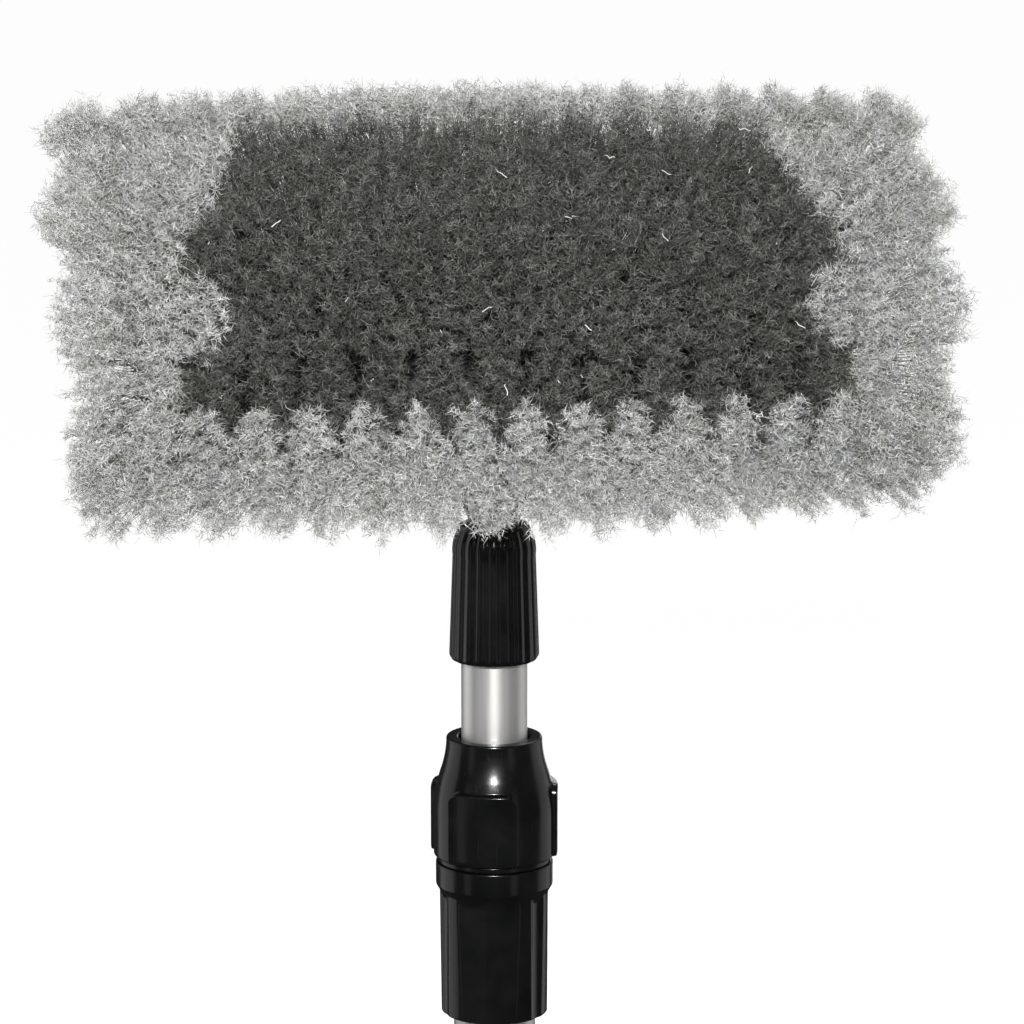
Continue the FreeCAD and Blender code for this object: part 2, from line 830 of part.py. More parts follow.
def neck_plate_shape():
    """Flange with two gussets that brace the socket, drilled for its screws."""
    back = back_plane()
    width = size("flange_width")
    bottom = -size("flange_bottom")
    thick = size("flange_thickness")
    plate = Part.makeBox(width, thick, size("flange_top") - bottom, Vector(-width / 2, back, bottom))
    upright = [edge for edge in plate.Edges if abs(edge.tangentAt(0).y) > 0.99]
    plate = plate.makeFillet(thick, upright)
    reach = size("gusset_reach")
    for x in (-width / 4, width / 4):
        corners = [
            Vector(x, back, bottom + 2),
            Vector(x, back, size("flange_top") - 2),
            Vector(x, back + reach * 0.3, size("flange_top") - reach * 0.5),
            Vector(x, back + reach * 0.3, bottom + reach * 0.4),
        ]
        rib = Part.Face(Part.makePolygon(corners + corners[:1]))
        thickness = size("gusset_thickness")
        rib.translate(Vector(-thickness / 2, 0, 0))
        plate = plate.fuse(rib.extrude(Vector(thickness, 0, 0)))
    bridge = size("socket_radius")
    for side in (-1, 1):
        start = Vector(min(side * bridge * 0.5, side * width / 4), back, bottom + reach * 0.4)
        span = width / 4 - bridge * 0.5
        plate = plate.fuse(Part.makeBox(span, reach * 0.3, size("gusset_thickness"), start))
    for x, z in screw_places():
        start = Vector(x, back - thick, z)
        hole = Part.makeCylinder(size("neck_screw_hole"), 3 * thick, start, Vector(0, 1, 0))
        plate = plate.cut(hole)
    return plate


def make_neck_screws():
    """Four pan-head screws from behind, through the flange into the block."""
    outside = back_plane() + size("flange_thickness")
    shank = size("flange_thickness + pilot_depth") - 0.5
    screws = []
    for x, z in screw_places():
        seat = Vector(x, outside, z)
        head = Part.makeCone(
            size("neck_screw_head_radius"),
            size("neck_screw_head_radius") * 0.7,
            size("neck_screw_head_length"),
            seat,
            Vector(0, 1, 0),
        )
        body = Part.makeCylinder(size("neck_screw_radius"), shank, seat, Vector(0, -1, 0))
        screws.append(head.fuse(body).removeSplitter())
    group = DOC.addObject("Part::Feature", "neck_screw_group")
    group.Shape = Part.makeCompound(screws)
    group.Placement = head_place()
    keep(group, "neck_screws")


def face_height(along):
    """How far the block's domed face stands in front of its middle, at a height along the block."""
    arc = size("block_face_arc")
    return size("block_thickness") / 2 - (arc - math.sqrt(arc**2 - along**2))


def tuft_frames():
    """Yields (row, dark, foot, direction) for each tuft, in the head's frame."""
    for row, (columns, dark_columns, end_lean, row_lean) in enumerate(ROWS):
        along = ((len(ROWS) - 1) / 2 - row) * size("row_pitch")
        splay = math.radians(row_lean)
        last = (columns - 1) / 2
        for column in range(columns):
            across_row = (column - last) * size("tuft_pitch")
            lean = math.radians(end_lean) * (column - last) / last
            direction = Vector(
                math.sin(lean), -math.cos(lean) * math.cos(splay), math.cos(lean) * math.sin(splay)
            )
            foot = Vector(across_row, -face_height(along), along)
            yield row, abs(column - last) < dark_columns / 2, foot, direction


def make_brush_block():
    """Domed block with rounded ends, drilled for every tuft and for the neck's screws."""
    sag = "block_face_arc - (block_face_arc^2 - (block_height / 2)^2)^0.5"
    body = DOC.addObject("PartDesign::Body", "block_blank")
    DOC.recompute()
    outline = (
        ("block_thickness", "0"),
        ("block_thickness", "block_height"),
        (sag, "block_height", "block_face_arc", -1),
        (sag, "0"),
    )
    sketch = section(body, "block_section", "YZ_Plane", outline)
    drive(
        sketch,
        AttachmentOffset__Base__x="0 - block_thickness / 2",
        AttachmentOffset__Base__y="0 - block_height / 2",
        AttachmentOffset__Base__z="0 - block_length / 2",
    )
    pad = body.newObject("PartDesign::Pad", "block_pad")
    pad.Profile = sketch
    drive(pad, Length="block_length")
    sketch.Visibility = False
    DOC.recompute()
    corners = [
        f"Edge{number}"
        for number, line in enumerate(pad.Shape.Edges, start=1)
        if abs(line.tangentAt(line.FirstParameter).y) > 0.99
    ]
    rounding = body.newObject("PartDesign::Fillet", "block_corners")
    rounding.Base = (pad, corners)
    drive(rounding, Radius="block_corner")
    DOC.recompute()

    tools = []
    for _row, _dark, foot, direction in tuft_frames():
        start = foot - direction * size("hole_depth")
        tools.append(Part.makeCylinder(size("hole_radius"), size("hole_depth") * 2, start, direction))
    pilot_radius = size("neck_screw_radius + slip")
    for x, z in screw_places():
        start = Vector(x, back_plane() + 1, z)
        tools.append(Part.makeCylinder(pilot_radius, size("pilot_depth") + 1, start, Vector(0, -1, 0)))
    drills = DOC.addObject("Part::Feature", "block_drills")
    drills.Shape = Part.makeCompound(tools)
    block = cut("block_cut", body, drills)
    block.Placement = head_place()
    keep(block, "brush_block")


def tuft_solid(foot, direction):
    """A tuft: a tight root in its hole, then bristles that open towards the trimmed tip."""
    root = -size("tuft_root_depth")
    tight = size("tuft_root_radius")
    tip = size("tuft_tip_radius")
    end = size("tuft_length")
    outline = Part.makePolygon(
        [
            Vector(0, 0, root),
            Vector(tight, 0, root),
            Vector(tight, 0, 2),
            Vector(tip, 0, end - 2),
            Vector(tip - 2, 0, end),
            Vector(0, 0, end),
            Vector(0, 0, root),
        ]
    )
    solid = Part.Face(outline).revolve(Vector(), Vector(0, 0, 1), 360)
    solid.Placement = FreeCAD.Placement(foot, FreeCAD.Rotation(Vector(0, 0, 1), direction))
    return solid


def anchor_solid(foot, direction):
    """The flat wire that pins a tuft at the bottom of its hole."""
    long_way = size("anchor_length")
    wide = size("anchor_width")
    thick = size("anchor_thickness")
    solid = Part.makeBox(long_way, wide, thick, Vector(-long_way / 2, -wide / 2, 0))
    start = foot - direction * (size("hole_depth") - 0.2)
    solid.Placement = FreeCAD.Placement(start, FreeCAD.Rotation(Vector(0, 0, 1), direction))
    return solid


def make_tufts():
    """One node for each row of light tufts and one for each row of dark tufts."""
    groups = {}
    anchors = []
    for row, dark, foot, direction in tuft_frames():
        label = f"{'dark' if dark else 'light'}_row_{row + 1}"
        groups.setdefault(label, []).append(tuft_solid(foot, direction))
        anchors.append(anchor_solid(foot, direction))
    groups["tuft_anchors"] = anchors
    for label, solids in groups.items():
        group = DOC.addObject("Part::Feature", label + "_group")
        group.Shape = Part.makeCompound(solids)
        group.Placement = head_place()
        keep(group, label)


# ---------------------------------------------------------------------- write


def check_model():
    """Stops if any object failed or any sub-part is empty or invalid."""
    for thing in DOC.Objects:
        if "Invalid" in thing.State or "Error" in thing.State:
            raise ValueError(f"{thing.Name} failed: {thing.State}")
    for part in PARTS:
        if part.Shape.isNull() or not part.Shape.isValid() or not part.Shape.Solids:
            raise ValueError(f"{part.Label} has no valid shape")


def main():
    fill_sheet()
    for make in (
        make_outer_tube,
        make_end_cap,
        make_end_cap_screws,
        make_hand_grip,
        make_lock_body,
        make_lock_ring,
        make_lock_nut,
        make_grip_collet,
        make_inner_tube,
        make_guide_bush,
        make_bush_rivets,
        make_thread_ferrule,
        make_ferrule_rivets,
        make_coupling_nut,
        make_coupling_washer,
        make_brush_neck,
        make_neck_screws,
        make_brush_block,
        make_tufts,
    ):
        make()
    DOC.recompute()
    check_model()
    os.makedirs("parts", exist_ok=True)
    for part in PARTS:
        part.Shape.exportStep(f"parts/{part.Label}.step")
        print(part.Label, len(part.Shape.Solids), round(part.Shape.Volume, 1))


main()
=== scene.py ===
"""Looks of a telescopic window cleaning pole with a wide bristle head.

Shapes are worked out in millimetres and turned into metres when a mesh is made, and a turned
piece's heights count up from the lowest level of the CAD node that it stands for. +Z runs up the
pole, and the brush faces -Y and looks up a little.
"""

import math
from collections import namedtuple

import bpy
import numpy as np
from mathutils import Matrix, Vector


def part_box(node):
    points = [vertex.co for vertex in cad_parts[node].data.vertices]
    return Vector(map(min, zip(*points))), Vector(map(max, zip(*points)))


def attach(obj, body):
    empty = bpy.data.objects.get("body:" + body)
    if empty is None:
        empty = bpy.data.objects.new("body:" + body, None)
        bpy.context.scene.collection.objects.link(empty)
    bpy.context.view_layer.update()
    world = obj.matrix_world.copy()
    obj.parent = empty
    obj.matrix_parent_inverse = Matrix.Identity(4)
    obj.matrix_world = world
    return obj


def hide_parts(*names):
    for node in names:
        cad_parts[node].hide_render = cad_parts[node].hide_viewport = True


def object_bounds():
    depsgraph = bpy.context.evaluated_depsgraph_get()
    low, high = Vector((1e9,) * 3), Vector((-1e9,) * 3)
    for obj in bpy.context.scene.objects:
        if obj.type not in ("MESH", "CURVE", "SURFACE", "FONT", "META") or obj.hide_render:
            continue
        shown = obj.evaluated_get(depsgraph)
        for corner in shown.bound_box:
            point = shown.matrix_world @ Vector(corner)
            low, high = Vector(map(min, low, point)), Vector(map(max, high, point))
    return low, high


SEED = 20
MM = 0.001
FULL_TURN = 2 * math.pi
THIRD = FULL_TURN / 3

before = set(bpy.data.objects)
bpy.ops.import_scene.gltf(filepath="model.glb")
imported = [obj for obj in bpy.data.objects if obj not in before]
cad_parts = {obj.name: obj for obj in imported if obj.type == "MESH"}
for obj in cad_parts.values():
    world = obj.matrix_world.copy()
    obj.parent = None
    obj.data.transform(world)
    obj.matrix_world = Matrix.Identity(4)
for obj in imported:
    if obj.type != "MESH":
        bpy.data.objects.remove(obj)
cad_low, cad_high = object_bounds()


# ------------------------------------------------------------------ mesh tools

# a rounded corner's points, and the most of a side that it takes
CORNER_POINTS = 5
CORNER_SHARE = 0.45


def mesh_piece(name, points, faces, body, slot, node):
    """A smooth piece from points in millimetres and an array of faces, in place of a CAD node."""
    mesh = bpy.data.meshes.new(name)
    mesh.vertices.add(len(points))
    mesh.vertices.foreach_set("co", np.asarray(points, np.float32).ravel() * MM)
    count, sides = faces.shape
    mesh.loops.add(count * sides)
    mesh.loops.foreach_set("vertex_index", faces.ravel().astype(np.int32))
    mesh.polygons.add(count)
    mesh.polygons.foreach_set("loop_start", np.arange(0, count * sides, sides, np.int32))
    mesh.polygons.foreach_set("loop_total", np.full(count, sides, np.int32))
    mesh.update(calc_edges=True)
    mesh.shade_smooth()
    mesh.materials.append(MATERIALS[slot])
    piece = bpy.data.objects.new(name, mesh)
    bpy.context.scene.collection.objects.link(piece)
    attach(piece, body)
    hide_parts(node)
    return piece


def arc(start, end, radius, side, steps):
    """Points along the short arc after start up to end; side 1 bulges to the left of the way."""
    start, end = np.array(start, float), np.array(end, float)
    half = (end - start) / 2
    reach = np.hypot(*half)
    leftward = np.array([-half[1], half[0]]) / reach
    centre = start + half - leftward * math.sqrt(radius**2 - reach**2) * side
    first = math.atan2(*(start - centre)[::-1])
    sweep = 2 * math.asin(reach / radius) * -side
    turns = first + sweep * np.arange(1, steps + 1) / steps
    return [tuple(centre + radius * np.array([math.cos(a), math.sin(a)])) for a in turns]


def curved(points):
    """Marks points of a curve, so that softened leaves them as they are."""
    return [(x, y, True) for x, y in points]


def softened(corners, edge, longest):
    """A closed outline with each corner rounded by about edge and no step over longest.

    A corner given with a third value is a point of a curve already and stays as it is.
    """
    points = []
    count = len(corners)
    for index, corner in enumerate(corners):
        here = np.array(corner[:2], float)
        if len(corner) > 2:
            points.append(here)
            continue
        before = np.array(corners[index - 1][:2], float) - here
        after = np.array(corners[(index + 1) % count][:2], float) - here
        reach = min(edge, np.hypot(*before) * CORNER_SHARE, np.hypot(*after) * CORNER_SHARE)
        start = here + before / np.hypot(*before) * reach
        end = here + after / np.hypot(*after) * reach
        for share in np.linspace(0, 1, CORNER_POINTS):
            points.append((1 - share) ** 2 * start + 2 * share * (1 - share) * here + share**2 * end)
    outline = []
    for index, point in enumerate(points):
        following = points[(index + 1) % len(points)]
        steps = max(1, math.ceil(np.hypot(*(following - point)) / longest))
        outline.extend(point + (following - point) * step / steps for step in range(steps))
    return np.array(outline)


def lathe(name, node, body, slot, outline, angles, shape=None):
    """A solid of revolution from a closed section, in place of a CAD node.

    shape(angle, radius, height) gives each point's new radius.
    """
    radius, height = outline.T
    turn, reach = np.meshgrid(angles, radius, indexing="ij")
    rise = np.broadcast_to(height, reach.shape)
    if shape:
        reach = shape(turn, reach, rise)
    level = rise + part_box(node)[0].z / MM
    points = np.stack([reach * np.cos(turn), reach * np.sin(turn), level], -1).reshape(-1, 3)
    columns, rows = reach.shape
    column, row = np.meshgrid(np.arange(columns), np.arange(rows), indexing="ij")
    next_column, next_row = (column + 1) % columns, (row + 1) % rows
    corners = ((column, row), (next_column, row), (next_column, next_row), (column, next_row))
    faces = np.stack([across * rows + up for across, up in corners], -1).reshape(-1, 4)
    mesh_piece(name, points, faces, body, slot, node)


def even_angles(count):
    return np.linspace(0, FULL_TURN, count, endpoint=False)


def angle_from(turn, centre):
    """Signed angle from centre, between -pi and pi."""
    return (turn - centre + math.pi) % FULL_TURN - math.pi


def smooth_step(value, low, high):
    """Goes from 0 at low to 1 at high with soft ends."""
    share = np.clip((value - low) / (high - low), 0, 1)
    return share * share * (3 - 2 * share)


def unit(vectors):
    return vectors / np.linalg.norm(vectors, axis=-1, keepdims=True)


# ------------------------------------------------------------------- materials


class Surface:
    """A Principled material and short ways to add nodes to it."""

    def __init__(self, name, colour, roughness, **sockets):
        self.material = bpy.data.materials.new(name)
        self.material.use_nodes = True
        self.tree = self.material.node_tree
        self.shader = self.tree.nodes["Principled BSDF"]
        self.shader.inputs["Base Color"].default_value = (*colour, 1)
        self.shader.inputs["Roughness"].default_value = roughness
        for socket, value in sockets.items():
            self.shader.inputs[socket.replace("_", " ")].default_value = value
        self.material.diffuse_color = (*colour, 1)

    def add(self, kind, **inputs):
        """A node whose inputs are numbers, colours or other nodes' outputs."""
        node = self.tree.nodes.new("ShaderNode" + kind)
        for name, value in inputs.items():
            self.feed(node.inputs[name.replace("_", " ")], value)
        return node

    def feed(self, socket, value):
        if isinstance(value, bpy.types.NodeSocket):
            self.tree.links.new(value, socket)
        else:
            socket.default_value = value

    def noise(self, scale, stretch=(1, 1, 1), detail=3.0, distortion=0.0):
        """Noise in the object's own coordinates, stretched."""
        where = self.add("TexCoord").outputs["Object"]
        where = self.add("Mapping", Vector=where, Scale=stretch).outputs["Vector"]
        node = self.add("TexNoise", Vector=where, Scale=scale, Detail=detail, Distortion=distortion)
        return node.outputs["Fac"]

    def between(self, value, low, high, out_low, out_high):
        """Maps low..high to out_low..out_high, held at the ends."""
        node = self.add("MapRange", Value=value)
        for index, number in enumerate((low, high, out_low, out_high), start=1):
            node.inputs[index].default_value = number
        return node.outputs["Result"]

    def maths(self, operation, first, second):
        node = self.add("Math")
        node.operation = operation
        self.feed(node.inputs[0], first)
        self.feed(node.inputs[1], second)
        return node.outputs[0]

    def mix(self, share, first, second):
        """Two colours mixed by a share."""
        node = self.add("Mix")
        node.data_type = "RGBA"
        self.feed(node.inputs["Factor"], share)
        for socket, value in ((node.inputs[6], first), (node.inputs[7], second)):
            self.feed(socket, value if isinstance(value, bpy.types.NodeSocket) else (*value, 1))
        return node.outputs[2]

    def ramp(self, value, low, high, first, second, most=1):
        """From the first colour towards the second, by up to most, while a value goes low to high."""
        return self.mix(self.between(value, low, high, 0, most), first, second)

    def colour(self, value):
        self.feed(self.shader.inputs["Base Color"], value)

    def roughness(self, value):
        self.feed(self.shader.inputs["Roughness"], value)

    def bump(self, height, depth, strength, edge=None):
        """Relief of a depth in metres; edge rounds hard edges by that radius."""
        node = self.add("Bump", Height=height, Distance=depth, Strength=strength)
        if edge:
            self.feed(node.inputs["Normal"], self.add("Bevel", Radius=edge).outputs["Normal"])
        self.feed(self.shader.inputs["Normal"], node.outputs["Normal"])


def gloss_black(name):
    """Moulded glossy plastic: faint orange peel, handling smudges and hairline scratches."""
    surface = Surface(name, (0.003, 0.003, 0.0032), 0.16, Specular_IOR_Level=0.42)
    smudge = surface.noise(60, detail=5, distortion=0.6)
    hairline = surface.noise(900, stretch=(1, 1, 0.04), detail=2)
    surface.colour(surface.ramp(smudge, 0.35, 0.7, (0.0015, 0.0016, 0.0016), (0.003, 0.0032, 0.0031)))
    smears = surface.between(smudge, 0.3, 0.75, 0.17, 0.27)
    lines = surface.between(hairline, 0.62, 0.75, 0, 0.12)
    surface.roughness(surface.maths("ADD", smears, lines))
    peel = surface.noise(700, detail=2)
    relief = surface.maths("ADD", peel, surface.maths("MULTIPLY", hairline, 0.3))
    surface.bump(relief, depth=0.00003, strength=0.35)
    return surface.material


def satin_aluminium(name):
    """Drawn tube: long fine die lines, a soft sheen and a few rubbed streaks."""
    surface = Surface(
        name, (0.6, 0.6, 0.59), 0.4, Metallic=0.85, Anisotropic=0.5, Anisotropic_Rotation=0.25
    )
    turned = surface.add("Tangent")
    turned.direction_type = "RADIAL"
    turned.axis = "Z"
    surface.feed(surface.shader.inputs["Tangent"], turned.outputs["Tangent"])
    drawn = surface.noise(1400, stretch=(1, 1, 0.012), detail=3)
    streak = surface.noise(160, stretch=(1, 1, 0.02), detail=2)
    cloud = surface.noise(35, detail=4)
    worn = surface.ramp(streak, 0.4, 0.65, (0.56, 0.555, 0.54), (0.66, 0.66, 0.66))
    surface.colour(surface.ramp(cloud, 0.35, 0.7, worn, (0.59, 0.58, 0.56), most=0.5))
    lines = surface.between(drawn, 0.3, 0.7, 0.34, 0.44)
    surface.roughness(surface.maths("ADD", lines, surface.between(cloud, 0.3, 0.7, 0, 0.08)))
    surface.bump(drawn, depth=0.00001, strength=0.4)
    return surface.material


def matte_black(name):
    """Moulded polypropylene with a fine spark grain."""
    surface = Surface(name, (0.018, 0.018, 0.019), 0.55, Specular_IOR_Level=0.4)
    grain = surface.noise(1800, detail=2)
    patch = surface.noise(45, detail=4)
    surface.colour(surface.ramp(patch, 0.3, 0.7, (0.015, 0.015, 0.016), (0.021, 0.021, 0.022)))
    surface.roughness(surface.between(grain, 0.3, 0.7, 0.42, 0.62))
    surface.bump(grain, depth=0.00005, strength=0.6, edge=0.0006)
    return surface.material


def grip_rubber(name):
    """Soft rubber: dull, slightly dusty in patches."""
    surface = Surface(name, (0.02, 0.02, 0.021), 0.75, Specular_IOR_Level=0.3)
    grain = surface.noise(1200, detail=4)
    dust = surface.noise(40, detail=5)
    surface.colour(surface.ramp(dust, 0.4, 0.75, (0.017, 0.017, 0.018), (0.031, 0.031, 0.03)))
    surface.roughness(surface.between(grain, 0.3, 0.7, 0.62, 0.85))
    surface.bump(grain, depth=0.00008, strength=0.8)
    return surface.material


def natural_nylon(name):
    """Milky engineering plastic."""
    surface = Surface(name, (0.62, 0.6, 0.54), 0.42, Subsurface_Weight=0.1)
    cloud = surface.noise(90, detail=4)
    surface.colour(surface.ramp(cloud, 0.35, 0.7, (0.58, 0.56, 0.5), (0.68, 0.66, 0.6)))
    surface.roughness(surface.between(cloud, 0.3, 0.7, 0.36, 0.52))
    surface.bump(surface.noise(1500, detail=2), depth=0.00003, strength=0.5, edge=0.0004)
    return surface.material


def bright_steel(name):
    """Zinc-plated fastener."""
    surface = Surface(name, (0.6, 0.6, 0.6), 0.28, Metallic=1.0)
    cloud = surface.noise(400, detail=4)
    surface.colour(surface.ramp(cloud, 0.35, 0.7, (0.5, 0.5, 0.5), (0.68, 0.68, 0.67)))
    surface.roughness(surface.between(cloud, 0.3, 0.7, 0.2, 0.42))
    surface.bump(surface.noise(3000, detail=2), depth=0.00001, strength=0.5, edge=0.0002)
    return surface.material


def bristle(name, root, tip, bright, patch_colour):
    """Fibres toned one by one from the strand attribute (tone, distance along, tint)."""
    surface = Surface(name, tip, 0.55, Specular_IOR_Level=0.35)
    strand = surface.add("Attribute")
    strand.attribute_name = "strand"
    parts = surface.add("SeparateColor", Color=strand.outputs["Color"])
    tone, along, tint = parts.outputs
    body = surface.ramp(along, 0.56, 0.95, root, tip)
    patch = surface.noise(45, detail=3)
    share = surface.maths("MULTIPLY", surface.between(patch, 0.4, 0.65, 0, 1), tint)
    tinted = surface.mix(share, body, patch_colour)
    shaded = surface.mix(surface.between(tone, 0, 0.34, 0.75, 0), tinted, root)
    surface.colour(surface.ramp(tone, 0.45, 1.0, shaded, bright))
    surface.roughness(surface.between(tone, 0, 1, 0.42, 0.68))
    return surface.material


MATERIALS = {
    "gloss_black": gloss_black("gloss_black_plastic"),
    "tube_aluminium": satin_aluminium("satin_tube"),
    "matte_black": matte_black("matte_black_plastic"),
    "grip_rubber": grip_rubber("dull_rubber"),
    "natural_nylon": natural_nylon("milky_nylon"),
    "steel": bright_steel("plated_steel"),
    "light_bristle": bristle(
        "light_fibre",
        root=(0.165, 0.16, 0.11),
        tip=(0.375, 0.38, 0.366),
        bright=(0.66, 0.665, 0.645),
        patch_colour=(0.25, 0.256, 0.28),
    ),
    "dark_bristle": bristle(
        "dark_fibre",
        root=(0.02, 0.021, 0.016),
        tip=(0.06, 0.061, 0.055),
        bright=(0.21, 0.213, 0.195),
        patch_colour=(0.046, 0.046, 0.036),
    ),
}


# ------------------------------------------------------------------- clamp nut

NUT_ANGLES = 260
NUT_HEIGHT = 46.8
NUT_FOOT_RADIUS = 23.5
NUT_LIP_RADIUS = 18.5
NUT_LIP_BORE = 13.8
NUT_LIP_BOTTOM = 40
# the bore of the nut's skirt, and of the ring under it
SKIRT_BORE = 19.35
SKIRT_DEPTH = 23.5
# the cone that squeezes the collet
NUT_CONE_TOP_RADIUS = 14.3
NUT_CONE_FOOT_RADIUS = 17.3
# the flare leaves the skirt, bulges up to its middle and curves in up to the lip
FLARE_START = (NUT_FOOT_RADIUS, 16)
FLARE_MIDDLE = (21.0, 32.8)
FLARE_TOP = (NUT_LIP_RADIUS, 45.4)
# the first pad's middle, and the pads' radius and outline
PAD_ANGLE = math.radians(-111)
PAD_RADIUS = 24.6
PAD_HEIGHT = 28.5
PAD_HALF_WIDTH = 13.75
PAD_CORNER = 4.0
# a pad rises between these depths inside its outline
PAD_EDGE = (-0.2, 0.45)
# a pad is flatter than a round one: lower in its middle and higher at its sides by this
PAD_DIP = 0.5
PAD_FOOT_HEIGHT = 2.0
PAD_FOOT_DROP = 0.35
# only the nut's skin beyond this radius and above this level rises
PAD_SKIN = 19.6
PAD_LOWEST = 0.25
# extra angles about each side of a pad, and the smallest angle between two columns of points
PAD_SIDE_ANGLES = np.linspace(-0.05, 0.06, 19)
SMALLEST_ANGLE = 0.002
# a distance outside every outline
FAR = 99.0


def rounded_panel_depth(across, up):
    """How far inside a finger pad's outline a point lies, negative outside."""
    side = np.abs(across) - (PAD_HALF_WIDTH - PAD_CORNER)
    top = up - (PAD_HEIGHT - PAD_CORNER)
    outside = np.hypot(np.maximum(side, 0), np.maximum(top, 0))
    inside = np.minimum(np.maximum(side, top), 0)
    return PAD_CORNER - outside - inside


def with_pads(turn, reach, rise):
    """Raises the three finger pads out of the nut's skirt and flare."""
    for third in range(3):
        away = angle_from(turn, PAD_ANGLE + third * THIRD)
        across = np.where(np.abs(away) < math.pi / 2, PAD_RADIUS * np.sin(away), FAR)
        share = smooth_step(rounded_panel_depth(across, rise), *PAD_EDGE)
        crown = PAD_RADIUS - PAD_DIP + 2 * PAD_DIP * (across / PAD_HALF_WIDTH) ** 2
        crown = crown - PAD_FOOT_DROP * smooth_step(PAD_FOOT_HEIGHT - rise, 0, PAD_FOOT_HEIGHT)
        raised = reach + share * (np.maximum(crown, reach) - reach)
        reach = np.where((rise > PAD_LOWEST) & (reach > PAD_SKIN), raised, reach)
    return reach


def pad_angles():
    """Angles round the nut, closer together at the finger pads' sides."""
    edge = math.asin(PAD_HALF_WIDTH / PAD_RADIUS)
    near = [
        PAD_ANGLE + third * THIRD + side * edge + PAD_SIDE_ANGLES * side
        for third in range(3)
        for side in (-1, 1)
    ]
    turns = np.concatenate([even_angles(NUT_ANGLES) - math.pi, *near])
    turns = np.unique(np.round(turns % FULL_TURN, 5))
    return turns[np.diff(turns, append=turns[0] + FULL_TURN) > SMALLEST_ANGLE]


def make_lock_nut():
    """Flared clamp nut with three finger pads."""
    bulge = arc(FLARE_START, FLARE_MIDDLE, radius=60, side=-1, steps=46)
    hollow = arc(FLARE_MIDDLE, FLARE_TOP, radius=40, side=1, steps=16)
    outline = softened(
        [
            (SKIRT_BORE, 0),
            (NUT_FOOT_RADIUS, 0),
            *curved([FLARE_START, *bulge, *hollow[:-1]]),
            (NUT_LIP_RADIUS, NUT_HEIGHT),
            (NUT_LIP_BORE, NUT_HEIGHT),
            (NUT_LIP_BORE, NUT_LIP_BOTTOM),
            (NUT_CONE_TOP_RADIUS, NUT_LIP_BOTTOM),
            (NUT_CONE_FOOT_RADIUS, SKIRT_DEPTH),
            (SKIRT_BORE, SKIRT_DEPTH),
        ],
        edge=0.9,
        longest=0.8,
    )
    lathe("clamp_nut", "lock_nut", "lock_nut", "gloss_black", outline, pad_angles(), with_pads)


def make_lock_ring():
    """Thin ring in the gap under the nut."""
    radius = 22.0
    height = 2.2
    corners = [(SKIRT_BORE, 0), (radius, 0), (radius, height), (SKIRT_BORE, height)]
    outline = softened(corners, edge=0.5, longest=0.6)
    lathe("gap_ring", "lock_ring", "lock_slider", "gloss_black", outline, even_angles(192))


# ---------------------------------------------------------------------- sleeve

# the bore of the sleeve and the grip, which sit on the outer tube
TUBE_SEAT = 15.98
TUBE_SEAT_DEPTH = 45.0
INNER_BORE = 13.1
# the cone in the neck's top that the collet sits in
SEAT_CONE_TOP_RADIUS = 16.2
SEAT_CONE_FOOT_RADIUS = 13.9
SEAT_CONE_FOOT = 76.0
SLEEVE_FOOT_RADIUS = 20.65
SLEEVE_TOP_RADIUS = 21.2
BAND_RADIUS = 22.7
BAND_CHAMFER = 2.5
BAND_TOP = 60.5
NECK_RADIUS = 19.0
NECK_TOP = 85.0
# only the sleeve's skin beyond this radius is cut
SLEEVE_SKIN = 19.2
# the first flute's middle, and the flutes' radius, depth and length
FLUTE_ANGLE = math.radians(-46)
FLUTE_RADIUS = 7.7
FLUTE_DEPTH = 1.5
FLUTE_LENGTH = 49.0
FLUTE_ROUNDING = 0.2
# the flats' distance from the axis, and their turn to each side of the middle between two flutes
FLAT_APOTHEM = 19.9
FLAT_TURN = math.radians(15)
# a pair of flats and a flute are cut only this far to each side of their middle, in radians
FLATS_REACH = 0.7
FLUTE_REACH = 1.0
# the levels between which flats and flutes run out
RUN_OUT = (FLUTE_LENGTH - 3, FLUTE_LENGTH + 1)


def with_flutes(turn, reach, rise):
    """Cuts two flats between each two flutes and scoops the flutes; both run out under the band."""
    share = 1 - smooth_step(rise, *RUN_OUT)
    for third in range(3):
        away = np.abs(angle_from(turn, FLUTE_ANGLE + (third + 0.5) * THIRD))
        flat = np.where(away < FLATS_REACH, FLAT_APOTHEM / np.cos(away - FLAT_TURN), FAR)
        reach = np.where(reach > SLEEVE_SKIN, reach - np.maximum(reach - flat, 0) * share, reach)
    stand_off = SLEEVE_TOP_RADIUS - FLUTE_DEPTH + FLUTE_RADIUS
    for third in range(3):
        away = angle_from(turn, FLUTE_ANGLE + third * THIRD)
        inside = FLUTE_RADIUS**2 - (stand_off * np.sin(away)) ** 2
        scoop = stand_off * np.cos(away) - np.sqrt(np.maximum(inside, 0))
        depth = np.where((inside > 0) & (np.abs(away) < FLUTE_REACH), reach - scoop, 0)
        soft = np.where(depth > 0, np.hypot(depth, FLUTE_ROUNDING) - FLUTE_ROUNDING, 0)
        reach = np.where(reach > SLEEVE_SKIN, reach - soft * share, reach)
    return reach


